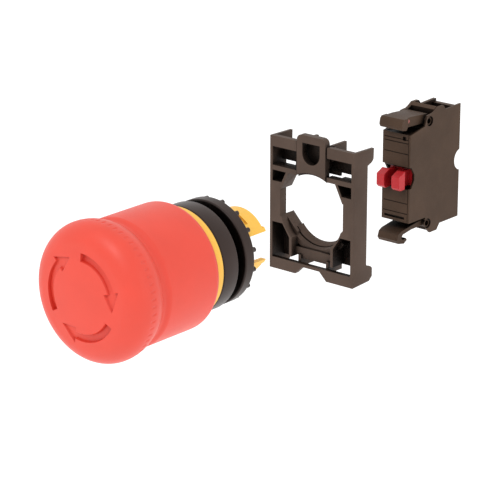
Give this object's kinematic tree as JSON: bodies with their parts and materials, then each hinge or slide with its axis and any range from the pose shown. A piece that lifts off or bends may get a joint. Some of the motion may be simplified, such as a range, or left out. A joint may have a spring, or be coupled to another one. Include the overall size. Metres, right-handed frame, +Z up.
{
  "type": "emergency stop button",
  "caption": "Twist-release emergency stop button: red mushroom head with clockwise arrows, yellow and black panel collar, ring nut, fixing adapter and clip-on contact block.",
  "frame": {"origin": "centre of the panel hole, in the plane of the panel's front face, where the seal's rear face rests", "axes": "+Y along the button's axis, from the head towards the contact block; +Z up, towards the adapter's tab; +X to the right seen from the front of the panel"},
  "size_m": [0.038, 0.1571, 0.0414],
  "materials": {
    "red_plastic": "satin moulded plastic",
    "yellow_plastic": "satin moulded plastic",
    "black_plastic": "satin moulded plastic",
    "brown_plastic": "satin glass-filled plastic",
    "dark_red_plastic": "smooth moulded plastic",
    "white_plastic": "natural acetal",
    "seal_rubber": "soft black rubber",
    "spring_steel": "drawn wire",
    "contact_brass": "stamped strip",
    "contact_silver": "silver contact rivet",
    "zinc_steel": "zinc-plated"
  },
  "bodies": {
    "operator_body": {"yellow_housing": "yellow_plastic", "bezel_collar": "black_plastic", "panel_seal": "seal_rubber", "latch_ring": "zinc_steel"},
    "push_shaft": {"actuator": "white_plastic", "retaining_clip": "spring_steel", "return_spring": "spring_steel", "torsion_spring": "spring_steel", "latch_spring_left": "spring_steel", "latch_spring_right": "spring_steel"},
    "left_pin": {"latch_pin_left": "zinc_steel"},
    "right_pin": {"latch_pin_right": "zinc_steel"},
    "cap": {"mushroom_cap": "red_plastic", "cap_skirt": "red_plastic", "cap_hub": "black_plastic"},
    "nut": {"ring_nut": "black_plastic"},
    "adapter": {"adapter_frame": "brown_plastic"},
    "lock": {"locking_slide": "brown_plastic"},
    "block": {"block_housing": "brown_plastic", "block_cover": "brown_plastic", "fixed_contact_top": "contact_brass", "fixed_contact_bottom": "contact_brass", "fixed_tip_top": "contact_silver", "fixed_tip_bottom": "contact_silver", "plunger_spring": "spring_steel"},
    "contact_carrier": {"contact_plunger": "dark_red_plastic", "moving_bridge": "contact_brass", "moving_tip_top": "contact_silver", "moving_tip_bottom": "contact_silver"},
    "upper_arm": {"top_clip": "brown_plastic"},
    "lower_arm": {"bottom_clip": "brown_plastic"},
    "upper_screw": {"terminal_screw_top": "zinc_steel"},
    "lower_screw": {"terminal_screw_bottom": "zinc_steel"},
    "upper_clamp": {"clamp_plate_top": "zinc_steel"},
    "lower_clamp": {"clamp_plate_bottom": "zinc_steel"}
  },
  "joints": [
    {"name": "button_press", "type": "slide", "parent": "operator_body", "child": "push_shaft", "axis": [0, 1, 0], "range_m": [0, 0.004], "deforming": ["return_spring"]},
    {"name": "button_twist", "type": "hinge", "parent": "push_shaft", "child": "cap", "pos_m": [0, 0, 0], "axis": [0, 1, 0], "range_deg": [0, 45], "stiffness_Nm_per_rad": 0.02, "deforming": ["torsion_spring"]},
    {"name": "left_pin_slide", "type": "slide", "parent": "push_shaft", "child": "left_pin", "axis": [-1, 0, 0], "range_m": [0, 0.0008], "deforming": ["latch_spring_left"]},
    {"name": "right_pin_slide", "type": "slide", "parent": "push_shaft", "child": "right_pin", "axis": [1, 0, 0], "range_m": [0, 0.0008], "deforming": ["latch_spring_right"]},
    {"name": "nut_travel", "type": "slide", "parent": "operator_body", "child": "nut", "axis": [0, -1, 0], "range_m": [-0.012, 0.0018]},
    {"name": "adapter_fit", "type": "slide", "parent": "operator_body", "child": "adapter", "axis": [0, -1, 0], "range_m": [0, 0.03705]},
    {"name": "tab_lock", "type": "slide", "parent": "adapter", "child": "lock", "axis": [0, 0, -1], "range_m": [0, 0.002]},
    {"name": "block_fit", "type": "slide", "parent": "adapter", "child": "block", "axis": [0, -1, 0], "range_m": [0, 0.03255]},
    {"name": "contact_press", "type": "slide", "parent": "block", "child": "contact_carrier", "axis": [0, 1, 0], "range_m": [0, 0.0027], "stiffness_N_per_m": 250, "deforming": ["plunger_spring"]},
    {"name": "upper_arm_pivot", "type": "hinge", "parent": "block", "child": "upper_arm", "pos_m": [0, 0.0971, 0.0173], "axis": [-1, 0, 0], "range_deg": [0, 12], "stiffness_Nm_per_rad": 0.02},
    {"name": "lower_arm_pivot", "type": "hinge", "parent": "block", "child": "lower_arm", "pos_m": [0, 0.0971, -0.0139], "axis": [1, 0, 0], "range_deg": [0, 12], "stiffness_Nm_per_rad": 0.02},
    {"name": "upper_screw_turn", "type": "hinge", "parent": "block", "child": "upper_screw", "pos_m": [0, 0.105, 0.0122], "axis": [0, -1, 0], "range_deg": [0, 1445]},
    {"name": "lower_screw_turn", "type": "hinge", "parent": "block", "child": "lower_screw", "pos_m": [0, 0.105, -0.0092], "axis": [0, -1, 0], "range_deg": [0, 1445]},
    {"name": "upper_clamp_slide", "type": "slide", "parent": "block", "child": "upper_clamp", "axis": [0, -1, 0], "range_m": [0, 0.002]},
    {"name": "lower_clamp_slide", "type": "slide", "parent": "block", "child": "lower_clamp", "axis": [0, -1, 0], "range_m": [0, 0.002]}
  ],
  "couplings": [
    {"joint": "left_pin_slide", "follows": "button_press", "ratio": 0.2},
    {"joint": "right_pin_slide", "follows": "button_press", "ratio": 0.2},
    {"joint": "upper_screw_turn", "follows": "upper_clamp_slide", "rad_per_m": 12566},
    {"joint": "lower_screw_turn", "follows": "lower_clamp_slide", "rad_per_m": 12566}
  ]
}
